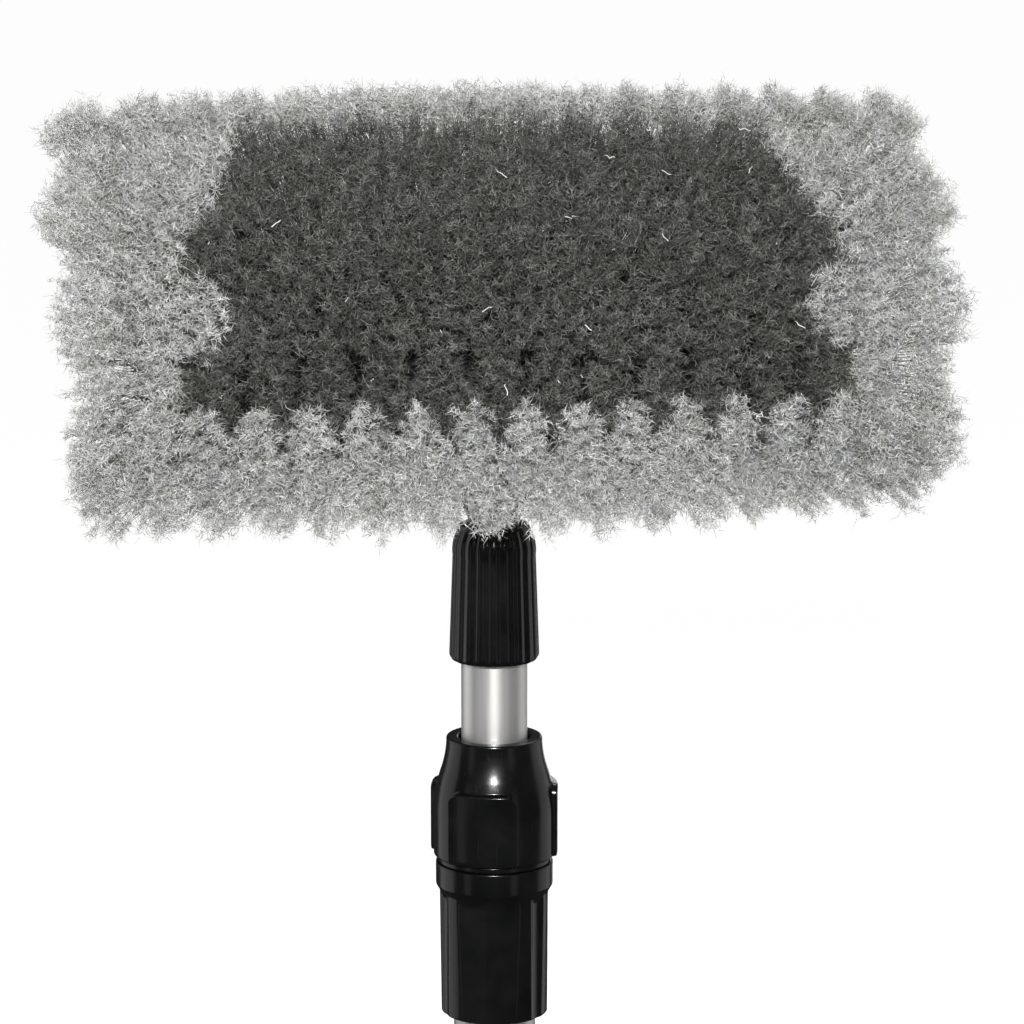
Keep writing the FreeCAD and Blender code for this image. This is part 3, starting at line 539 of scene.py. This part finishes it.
def make_lock_body():
    """Fluted sleeve, smooth band and the neck under the nut."""
    outline = softened(
        [
            (TUBE_SEAT, 0),
            (SLEEVE_FOOT_RADIUS, 0),
            (SLEEVE_TOP_RADIUS, FLUTE_LENGTH),
            (BAND_RADIUS, FLUTE_LENGTH + BAND_CHAMFER),
            (BAND_RADIUS, BAND_TOP),
            (NECK_RADIUS, BAND_TOP),
            (NECK_RADIUS, NECK_TOP),
            (SEAT_CONE_TOP_RADIUS, NECK_TOP),
            (SEAT_CONE_FOOT_RADIUS, SEAT_CONE_FOOT),
            (INNER_BORE, SEAT_CONE_FOOT),
            (INNER_BORE, TUBE_SEAT_DEPTH),
            (TUBE_SEAT, TUBE_SEAT_DEPTH),
        ],
        edge=0.6,
        longest=1.0,
    )
    lathe("lock_sleeve", "lock_body", "outer_pole", "gloss_black", outline, even_angles(288), with_flutes)


# ------------------------------------------------------------------- coupling

RIBS = 20
ANGLES_PER_RIB = 18
RIB_DEPTH = 0.6
# how narrow the grooves between the ribs are
RIB_POWER = 1.6
# the levels between which the ribs come up at the foot and fade at the top, and what is left of
# them beyond
RIB_FOOT = (0.2, 3.0)
RIB_TOP = (50.5, 52.5)
RIB_END_SHARE = 0.35
# only the nut's skin beyond this radius is ribbed
COUPLING_SKIN = 13.95
COUPLING_HEIGHT = 53.0
COUPLING_TOP_RADIUS = 13.2
COUPLING_RIM_RADIUS = 17.25
COUPLING_ROUNDING = 2.6
COUPLING_TAPER_END = (15.9, 41)
COUPLING_SHOULDER_END = (14.4, 50)
# the bores of its mouth, thread and lip, and where the thread starts and ends
COUPLING_MOUTH = 13.7
COUPLING_THREAD_BORE = 12.65
COUPLING_LIP_BORE = 10.4
COUPLING_THREAD_FOOT = 21
COUPLING_THREAD_TOP = 42.6


def with_ribs(turn, reach, rise):
    """Round ribs along the coupling, with narrow grooves between them."""
    groove = (0.5 + 0.5 * np.cos(turn * RIBS)) ** RIB_POWER
    fade = smooth_step(rise, *RIB_FOOT) * (1 - smooth_step(rise, *RIB_TOP))
    share = RIB_END_SHARE + (1 - RIB_END_SHARE) * fade
    return np.where(reach > COUPLING_SKIN, reach - RIB_DEPTH * groove * share, reach)


def make_coupling_nut():
    """Ribbed taper nut with a soft lower rim and a stepped-in shoulder."""
    rim_start = (COUPLING_RIM_RADIUS - COUPLING_ROUNDING, 0)
    rim_end = (COUPLING_RIM_RADIUS, COUPLING_ROUNDING)
    rim = arc(rim_start, rim_end, radius=COUPLING_ROUNDING, side=-1, steps=8)
    shoulder = arc(COUPLING_TAPER_END, COUPLING_SHOULDER_END, radius=16, side=-1, steps=12)
    outline = softened(
        [
            (COUPLING_MOUTH, 0),
            *curved([rim_start, *rim, COUPLING_TAPER_END, *shoulder]),
            (COUPLING_TOP_RADIUS, COUPLING_HEIGHT),
            (COUPLING_LIP_BORE, COUPLING_HEIGHT),
            (COUPLING_LIP_BORE, COUPLING_THREAD_TOP),
            (COUPLING_THREAD_BORE, COUPLING_THREAD_TOP),
            (COUPLING_THREAD_BORE, COUPLING_THREAD_FOOT),
            (COUPLING_MOUTH, COUPLING_THREAD_FOOT),
        ],
        edge=0.5,
        longest=1.0,
    )
    angles = even_angles(RIBS * ANGLES_PER_RIB)
    lathe("taper_nut", "coupling_nut", "coupling_nut", "gloss_black", outline, angles, with_ribs)


# ------------------------------------------------------------------- hand grip

GRIP_LENGTH = 210.0
GRIP_RADIUS = 18.4
GRIP_BEAD_RADIUS = 19.4
GRIP_BEAD_LENGTH = 6.2
GRIP_BEAD_CHAMFER = 1.0
# only the grip's skin beyond this radius is ribbed
GRIP_SKIN = 18.0
GRIP_RIBS = 44
ANGLES_PER_GRIP_RIB = 8
GRIP_RIB_DEPTH = 0.22
# the ribs start between these distances from either end
GRIP_RIB_START = (8, 11)
# grooves across the ribs: their spacing, depth and narrowness
GRIP_RING_PITCH = 30
GRIP_RING_DEPTH = 0.35
GRIP_RING_POWER = 24


def with_grip_ribs(turn, reach, rise):
    """Fine lengthwise ribs between the beads, crossed by shallow rings."""
    body = smooth_step(np.minimum(rise, GRIP_LENGTH - rise), *GRIP_RIB_START)
    rings = (0.5 + 0.5 * np.cos(rise / GRIP_RING_PITCH * FULL_TURN)) ** GRIP_RING_POWER
    ribs = GRIP_RIB_DEPTH * np.cos(turn * GRIP_RIBS) * (1 - rings)
    return np.where(reach > GRIP_SKIN, reach + body * (ribs - GRIP_RING_DEPTH * rings), reach)


def make_hand_grip():
    """Rubber sleeve with rounded end beads and fine lengthwise ribs."""
    bead_end = GRIP_BEAD_LENGTH + GRIP_BEAD_CHAMFER
    outline = softened(
        [
            (TUBE_SEAT, 0),
            (GRIP_BEAD_RADIUS, 0),
            (GRIP_BEAD_RADIUS, GRIP_BEAD_LENGTH),
            (GRIP_RADIUS, bead_end),
            (GRIP_RADIUS, GRIP_LENGTH - bead_end),
            (GRIP_BEAD_RADIUS, GRIP_LENGTH - GRIP_BEAD_LENGTH),
            (GRIP_BEAD_RADIUS, GRIP_LENGTH),
            (TUBE_SEAT, GRIP_LENGTH),
        ],
        edge=1.2,
        longest=2.0,
    )
    angles = even_angles(GRIP_RIBS * ANGLES_PER_GRIP_RIB)
    lathe("grip_sleeve", "hand_grip", "outer_pole", "grip_rubber", outline, angles, with_grip_ribs)


# -------------------------------------------------------------------- bristles

# from the top row down: tufts, how many of the middle ones are dark, the end tufts' sideways lean
# and the row's upward lean in degrees, and a tip's spread along the row and from row to row
ROWS = (
    (17, 0, 32, 54.0, 11.5, 17),
    (16, 10, 36, 33.0, 11.5, 17),
    (17, 11, 36, 22.0, 11.5, 16),
    (16, 12, 36, 7.0, 11.5, 16),
    (17, 11, 33, -8.5, 11.5, 16),
    (16, 12, 36, -25.0, 8.5, 18),
    (17, 0, 31, -38.5, 8.5, 18),
    (16, 0, 38, -48.0, 11.0, 15),
)
LOWEST_ROW = len(ROWS) - 1
ROW_PITCH = 10.0
TUFT_PITCH = 15.4
BLOCK_HALF_THICKNESS = 12.0
BLOCK_FACE_ARC = 70.0
# the block's middle on the pole's axis, and its tilt about X
HEAD_LEVEL = 817.0
HEAD_TILT = math.radians(-29)
HEAD_TURN = np.array(Matrix.Rotation(HEAD_TILT, 3, "X"))
SHAFT_LENGTH = 62.5
ROOT_RADIUS = 2.6
# shares by which tufts at a row's ends are longer, and their tips wider
END_STRETCH = 0.05
END_WIDENING = 0.16
# shares by which the lowest row is shorter, and shorter still towards its right end
LOWEST_TRIM = 0.08
LOWEST_RIGHT_TRIM = 0.08
# below 1, a tuft opens mostly near its root
OPENING = 0.8

# how many shafts a tuft has, and how many curly hairs and split ends each shaft has
FILAMENTS = 80
CURLS = 11
TIPS = 29
FILAMENT_RADIUS = 0.14
CURL_RADIUS = 0.125
TIP_RADIUS = 0.165
# a shaft's stations as shares of its length, how far along each is shaded, and its thickness
SHAFT_STATIONS = (-0.02, 0.32, 0.58, 0.8, 0.98)
SHAFT_ALONG = (0, 0.3, 0.5, 0.65, 0.8)
SHAFT_TAPER = (1.0, 1.0, 1.0, 0.8)
# shares of a shaft's length: the highest start of its hairs, and the zone below it that they fill
CURL_TOP = 0.95
CURL_ZONE = {"light": 0.7, "dark": 0.72}
TIP_TOP = 0.98
TIP_ZONE = 0.12
# above 1, hairs crowd towards the top of their zone
CROWDING = 1.3
CURL_LENGTHS = (3.0, 6.5)
TIP_LENGTHS = (1.6, 4.0)
# how loosely hairs point: 0 is along the shaft and 1 is any way
CURL_LOOSENESS = 0.74
TIP_LOOSENESS = 0.72
# random spreads: a shaft's place in the tuft, its length, its tip and its kinks, how far a hair
# starts from its shaft, and a curl's bend
PLACE_SCATTER = 0.05
LENGTH_SCATTER = 1.2
WANDER = 1.0
CRIMP = 1.2
STRAY = 0.8
CURL_BEND = 0.7
HAIR_THICKNESS = (0.7, 1.3)
CURL_TAPER = (1.0, 0.85)
# tones go from 0, dark, to 1, bright: shafts are dim, and a hair takes part of its shaft's tone
SHAFT_TONE = 0.3
SHARED_TONE = 0.45
OWN_TONE = 0.6
# how far along a hair's stations are shaded, counted from where it starts
CURL_ALONG = (-0.08, 0, 0.05)
TIP_ALONG = (-0.05, 0.02)
GOLDEN_ANGLE = math.pi * (3 - math.sqrt(5))

# the stations of loose hairs as shares of their length, and how far along they are shaded
LOOSE_SHARES = np.linspace(0, 1, 5)
LOOSE_ALONG = 0.9 + LOOSE_SHARES * 0.1
LOOSE_RADIUS = 0.17
# loose ends under the middle of the lowest row: how many a tuft has, how far from the axis tufts
# have them, where they start along the tuft, and their mean place and scatter beside it
HANGING_HAIRS = 16
HANGING_REACH = 26
HANGING_START = (47, 57)
HANGING_ASIDE = (0, 5.5)
HANGING_UPWARD = (-3, 4)
HANGING_LENGTHS = (3, 8.5)
# how much of the tuft's direction they keep, and how much they point any way
HANGING_LEAN = 0.15
HANGING_SCATTER = 0.32
# lint on the dark bristles: how many pieces, how far out along a tuft, their scatter beside it
# and their lengths
LINT = 26
LINT_START = 66.5
LINT_ASIDE = 4
LINT_UPWARD = 5
LINT_LENGTHS = (1.1, 1.5, 4.5, 6.0)

# a tuft in the head's own frame, in millimetres; its axes are its direction, its way along the row
# and its way from row to row
Tuft = namedtuple("Tuft", "row dark foot axes length spread")


def tufts():
    """Yields each tuft, row by row from the top."""
    for row, (columns, dark_columns, end_lean, row_lean, wide, tall) in enumerate(ROWS):
        along = (LOWEST_ROW / 2 - row) * ROW_PITCH
        splay = math.radians(row_lean)
        face = BLOCK_HALF_THICKNESS - BLOCK_FACE_ARC + math.sqrt(BLOCK_FACE_ARC**2 - along**2)
        last = (columns - 1) / 2
        for column in range(columns):
            side = (column - last) / last
            lean = math.radians(end_lean) * side
            axes = np.array(
                [
                    [math.sin(lean), -math.cos(lean) * math.cos(splay), math.cos(lean) * math.sin(splay)],
                    [math.cos(lean), math.sin(lean) * math.cos(splay), -math.sin(lean) * math.sin(splay)],
                    [0, math.sin(splay), math.cos(splay)],
                ]
            )
            foot = np.array([(column - last) * TUFT_PITCH, -face, along])
            length = SHAFT_LENGTH * (1 + END_STRETCH * side**4)
            if row == LOWEST_ROW:
                length *= 1 - LOWEST_TRIM - LOWEST_RIGHT_TRIM * max(side, 0) ** 2
            spread = (wide * (1 + END_WIDENING * side**2), tall)
            yield Tuft(row, abs(column - last) < dark_columns / 2, foot, axes, length, spread)


def frame_about(directions):
    """Two unit vectors square to each direction."""
    helper = np.where(np.abs(directions[..., :1]) < 0.8, [1.0, 0, 0], [0, 0, 1.0])
    first = unit(np.cross(directions, helper))
    return first, np.cross(directions, first)


def strands(stations, radii, tone, along, tint):
    """Three-sided tubes through stations (strand, station, xyz), closed to a point at the end.

    Tone and tint are one number a strand; along is one a station.
    """
    count, steps, _ = stations.shape
    first, second = frame_about(unit(stations[:, -1] - stations[:, 0]))
    corners = even_angles(3)[None, :, None]
    ring = np.cos(corners) * first[:, None] + np.sin(corners) * second[:, None]
    body = stations[:, :-1, None] + ring[:, None] * radii[:, :, None, None]
    points = np.concatenate([body.reshape(count, -1, 3), stations[:, -1:]], 1)
    here = np.arange(3)
    after = (here + 1) % 3
    faces = []
    for low in range(0, (steps - 2) * 3, 3):
        high = low + 3
        faces.append(np.stack([low + here, low + after, high + after], 1))
        faces.append(np.stack([low + here, high + after, high + here], 1))
    last = (steps - 2) * 3
    faces.append(np.stack([last + here, last + after, np.full(3, last + 3)], 1))
    faces = np.concatenate(faces)[None] + (np.arange(count) * points.shape[1])[:, None, None]
    level = np.concatenate([np.repeat(along[:, :-1], 3, 1), along[:, -1:]], 1)
    shade = np.stack(np.broadcast_arrays(tone[:, None], level, tint[:, None]), -1)
    return points.reshape(-1, 3), faces.reshape(-1, 3), shade.reshape(-1, 3)


def tuft_strands(rng, tuft, zone):
    """One tuft: stiff shafts from the hole, curly hairs along them and a dense cap of split ends."""
    direction, across, along_rows = tuft.axes
    every = np.arange(FILAMENTS)
    rank = np.sqrt((every + 0.5) / FILAMENTS) + rng.normal(0, PLACE_SCATTER, FILAMENTS)
    turn = every * GOLDEN_ANGLE + rng.uniform(0, FULL_TURN)
    aside = (rank * np.cos(turn))[:, None] * across
    upward = (rank * np.sin(turn))[:, None] * along_rows
    length = tuft.length + rng.normal(0, LENGTH_SCATTER, FILAMENTS)
    wander = rng.normal(0, WANDER, (FILAMENTS, 3))

    def at(share, which):
        """Where the chosen shafts stand at these shares of their length."""
        opened = np.maximum(share, 0)[:, None] ** OPENING
        wide, tall = (ROOT_RADIUS + (end - ROOT_RADIUS) * opened for end in tuft.spread)
        lean = aside[which] * wide + upward[which] * tall + wander[which] * opened
        return tuft.foot + direction * (share * length[which])[:, None] + lean

    shafts = np.stack([at(np.full(FILAMENTS, share), every) for share in SHAFT_STATIONS], 1)
    shafts[:, 1:4] += rng.normal(0, CRIMP, (FILAMENTS, 3, 3))
    radii = FILAMENT_RADIUS * np.broadcast_to(SHAFT_TAPER, (FILAMENTS, 4))
    tone = rng.random(FILAMENTS)
    tint = rng.random(FILAMENTS)
    along = np.broadcast_to(SHAFT_ALONG, (FILAMENTS, 5))
    groups = [strands(shafts, radii, tone * SHAFT_TONE, along, tint)]
    outward = unit(shafts[:, 4] - shafts[:, 2])

    def split_off(per_shaft, depth, top, lengths, looseness):
        """Starts, ways, shares, tones and tints of hairs that leave the shafts in a zone under top."""
        pick = np.repeat(every, per_shaft)
        share = top - depth * rng.random(len(pick)) ** CROWDING
        heading = outward[pick] * (1 - looseness) + unit(rng.normal(0, 1, (len(pick), 3))) * looseness
        size = rng.uniform(*lengths, len(pick))[:, None]
        shade = np.clip(tone[pick] * SHARED_TONE + rng.random(len(pick)) * OWN_TONE, 0, 1)
        start = at(share, pick) + rng.normal(0, STRAY, heading.shape)
        return start, unit(heading) * size, share, shade, tint[pick]

    start, leap, share, shade, hair_tint = split_off(CURLS, zone, CURL_TOP, CURL_LENGTHS, CURL_LOOSENESS)
    bend = start + leap * 0.5 + rng.normal(0, CURL_BEND, start.shape)
    radii = CURL_RADIUS * rng.uniform(*HAIR_THICKNESS, (len(start), 1)) * CURL_TAPER
    along = share[:, None] + CURL_ALONG
    groups.append(strands(np.stack([start, bend, start + leap], 1), radii, shade, along, hair_tint))

    start, leap, share, shade, hair_tint = split_off(TIPS, TIP_ZONE, TIP_TOP, TIP_LENGTHS, TIP_LOOSENESS)
    radii = TIP_RADIUS * rng.uniform(*HAIR_THICKNESS, (len(start), 1))
    along = share[:, None] + TIP_ALONG
    groups.append(strands(np.stack([start, start + leap], 1), radii, shade, along, hair_tint))
    return groups


def loose_hairs(rng, starts, headings, lengths, curl, tones):
    """Single hairs that wander about their headings."""
    count, steps = len(starts), len(LOOSE_SHARES)
    path = starts[:, None] + headings[:, None] * lengths[:, None, None] * LOOSE_SHARES[None, :, None]
    path = path + rng.normal(0, curl, (count, steps, 3)) * np.sqrt(LOOSE_SHARES)[None, :, None]
    radii = np.full((count, steps - 1), LOOSE_RADIUS)
    along = np.broadcast_to(LOOSE_ALONG, (count, steps))
    return strands(path, radii, rng.uniform(*tones, count), along, np.zeros(count))


def hanging_hairs(rng):
    """Loose ends that droop from the middle of the lowest row over the coupling's top."""
    down = np.array([0, 0, -1]) @ HEAD_TURN
    starts, headings = [], []
    for tuft in tufts():
        if tuft.row < LOWEST_ROW or abs(tuft.foot[0]) >= HANGING_REACH:
            continue
        direction, across, along_rows = tuft.axes
        for _hair in range(HANGING_HAIRS):
            side = across * rng.normal(*HANGING_ASIDE) + along_rows * rng.normal(*HANGING_UPWARD)
            starts.append(tuft.foot + direction * rng.uniform(*HANGING_START) + side)
            headings.append(unit(down + direction * HANGING_LEAN + rng.normal(0, HANGING_SCATTER, 3)))
    lengths = rng.uniform(*HANGING_LENGTHS, len(starts))
    return loose_hairs(rng, np.array(starts), np.array(headings), lengths, curl=1.0, tones=(0.35, 1.0))


def lint(rng):
    """A few pale fibres and specks caught on the dark bristles."""
    places = [tuft for tuft in tufts() if tuft.dark]
    chosen = [places[index] for index in rng.choice(len(places), LINT, replace=False)]
    starts, headings = [], []
    for tuft in chosen:
        direction, across, along_rows = tuft.axes
        side = across * rng.normal(0, LINT_ASIDE) + along_rows * rng.normal(0, LINT_UPWARD)
        starts.append(tuft.foot + direction * LINT_START + side)
    for tuft in chosen:
        _direction, across, along_rows = tuft.axes
        headings.append(unit(across * rng.normal() + along_rows * rng.normal()))
    lengths = rng.choice(LINT_LENGTHS, LINT)
    return loose_hairs(rng, np.array(starts), np.array(headings), lengths, curl=0.5, tones=(0.8, 1.0))


def joined(groups):
    """Point, face and shade arrays of several groups as one."""
    points, faces, shades = zip(*groups)
    offsets = np.cumsum([0] + [len(part) for part in points[:-1]])
    moved = [part + offset for part, offset in zip(faces, offsets)]
    return np.concatenate(points), np.concatenate(moved), np.concatenate(shades)


def fibre_piece(kind, row, groups):
    """A row's fibres, turned from the head's own frame and with their shades in an attribute."""
    points, faces, shade = joined(groups)
    points = points @ HEAD_TURN.T + np.array([0, 0, HEAD_LEVEL])
    name, slot, node = f"{kind}_bristles_{row}", f"{kind}_bristle", f"{kind}_row_{row}"
    piece = mesh_piece(name, points, faces, "brush_head", slot, node)
    attribute = piece.data.attributes.new("strand", "FLOAT_COLOR", "POINT")
    colours = np.hstack([shade, np.ones((len(shade), 1))]).astype(np.float32)
    attribute.data.foreach_set("color", colours.ravel())


def make_bristles():
    """All rows' fibres, with the hanging hairs in the lowest row and the lint in the third."""
    rng = np.random.default_rng(SEED)
    rows = {}
    for tuft in tufts():
        kind = "dark" if tuft.dark else "light"
        rows.setdefault((kind, tuft.row + 1), []).extend(tuft_strands(rng, tuft, CURL_ZONE[kind]))
    rows["light", len(ROWS)].append(hanging_hairs(rng))
    rows["light", 3].append(lint(rng))
    for (kind, row), groups in rows.items():
        fibre_piece(kind, row, groups)


# ---------------------------------------------------------------------- studio

# from here on in metres
CAMERA_YAW = math.radians(9.0)
CAMERA_PITCH = math.radians(10.7)
CAMERA_DISTANCE = 1.37
CAMERA_LENS = 126.6
AIM_LEVEL = 0.7523
AIM_RIGHT = 0.0068
CLIP_END = 200
LIGHT_AIM = (0, 0, 0.7)
# a small flash just above the camera
FLASH_OFFSET = Vector((-0.02, 0, 0.26))
FLASH_SIZE = 0.08
FLASH_POWER = 28
# soft boxes at the sides, faint ones in front and two behind: place, width, height and power
SOFT_BOXES = {
    "left_box": ((-1.25, 0.65, 0.75), 1.2, 1.8, 5),
    "right_box": ((1.4, 0.5, 0.75), 1.2, 1.8, 3.7),
    "front_box": ((0.9, -1.55, 0.45), 0.4, 1.0, 0.5),
    "left_front_box": ((-1.45, -0.75, 0.5), 0.35, 1.1, 0.5),
    "back_fill": ((0.6, 1.3, 2.2), 1.0, 1.0, 9),
    "back_box": ((0.7, 1.7, 0.6), 0.5, 1.2, 2.2),
}
# the white world's strength in reflections
WORLD_IN_GLOSS = 0.04
FLOOR_GAP = 0.0005
FLOOR_HALF_SIZE = 40


def make_camera():
    """A long lens a little above the brush and to its left, aimed at the head."""
    level = math.cos(CAMERA_PITCH)
    back = Vector((-math.sin(CAMERA_YAW) * level, -math.cos(CAMERA_YAW) * level, math.sin(CAMERA_PITCH)))
    right = Vector((math.cos(CAMERA_YAW), -math.sin(CAMERA_YAW), 0))
    aim = Vector((0, 0, AIM_LEVEL)) + right * AIM_RIGHT
    data = bpy.data.cameras.new("camera")
    data.lens = CAMERA_LENS
    data.clip_end = CLIP_END
    camera = bpy.data.objects.new("camera", data)
    camera.location = aim + back * CAMERA_DISTANCE
    camera.rotation_euler = (-back).to_track_quat("-Z", "Y").to_euler()
    bpy.context.scene.collection.objects.link(camera)
    bpy.context.scene.camera = camera


def area_light(name, place, width, height, power, shape="RECTANGLE"):
    data = bpy.data.lights.new(name, "AREA")
    data.shape = shape
    data.size = width
    data.size_y = height
    data.energy = power
    light = bpy.data.objects.new(name, data)
    light.location = place
    light.rotation_euler = (Vector(LIGHT_AIM) - Vector(place)).to_track_quat("-Z", "Y").to_euler()
    bpy.context.scene.collection.objects.link(light)


def make_lights():
    """The flash and the soft boxes, all aimed at the head and the lock."""
    flash = bpy.context.scene.camera.location + FLASH_OFFSET
    area_light("flash", flash, FLASH_SIZE, FLASH_SIZE, FLASH_POWER, "ELLIPSE")
    for name, (place, width, height, power) in SOFT_BOXES.items():
        area_light(name, place, width, height, power)


def make_world():
    """White to the camera and to diffuse light, dim in reflections, so that black gloss stays black."""
    world = bpy.data.worlds.new("studio")
    world.use_nodes = True
    bpy.context.scene.world = world
    nodes, links = world.node_tree.nodes, world.node_tree.links
    mix = nodes.new("ShaderNodeMixShader")
    lit = ((nodes["Background"], 1.0), (nodes.new("ShaderNodeBackground"), WORLD_IN_GLOSS))
    for index, (background, strength) in enumerate(lit, start=1):
        background.inputs["Color"].default_value = (1, 1, 1, 1)
        background.inputs["Strength"].default_value = strength
        links.new(background.outputs["Background"], mix.inputs[index])
    path = nodes.new("ShaderNodeLightPath")
    links.new(path.outputs["Is Glossy Ray"], mix.inputs["Fac"])
    links.new(mix.outputs["Shader"], nodes["World Output"].inputs["Surface"])


def make_floor():
    """A plain white floor just under the pole's foot."""
    surface = Surface("white_floor", (0.98, 0.98, 0.98), 0.9, Specular_IOR_Level=0.0)
    mesh = bpy.data.meshes.new("floor")
    level = cad_low.z - FLOOR_GAP
    half = FLOOR_HALF_SIZE
    corners = [(-half, -half, level), (half, -half, level), (half, half, level), (-half, half, level)]
    mesh.from_pydata(corners, [], [(0, 1, 2, 3)])
    mesh.materials.append(surface.material)
    floor = bpy.data.objects.new("floor", mesh)
    bpy.context.scene.collection.objects.link(floor)
    floor.visible_glossy = False


def dress_cad_nodes():
    """Each CAD node that stays gets the material of its slot."""
    slots = {
        "tube_aluminium": ["outer_tube", "inner_tube"],
        "matte_black": ["end_cap", "guide_bush", "brush_neck", "brush_block"],
        "natural_nylon": ["grip_collet", "thread_ferrule", "coupling_washer"],
        "steel": ["end_cap_screws", "bush_rivets", "ferrule_rivets", "neck_screws", "tuft_anchors"],
    }
    for slot, nodes in slots.items():
        for node in nodes:
            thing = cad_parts[node]
            thing.data.materials.clear()
            thing.data.materials.append(MATERIALS[slot])


make_camera()
make_world()
make_lights()
make_floor()
dress_cad_nodes()
make_lock_nut()
make_lock_body()
make_lock_ring()
make_coupling_nut()
make_hand_grip()
make_bristles()
bpy.context.scene.view_settings.view_transform = "Standard"
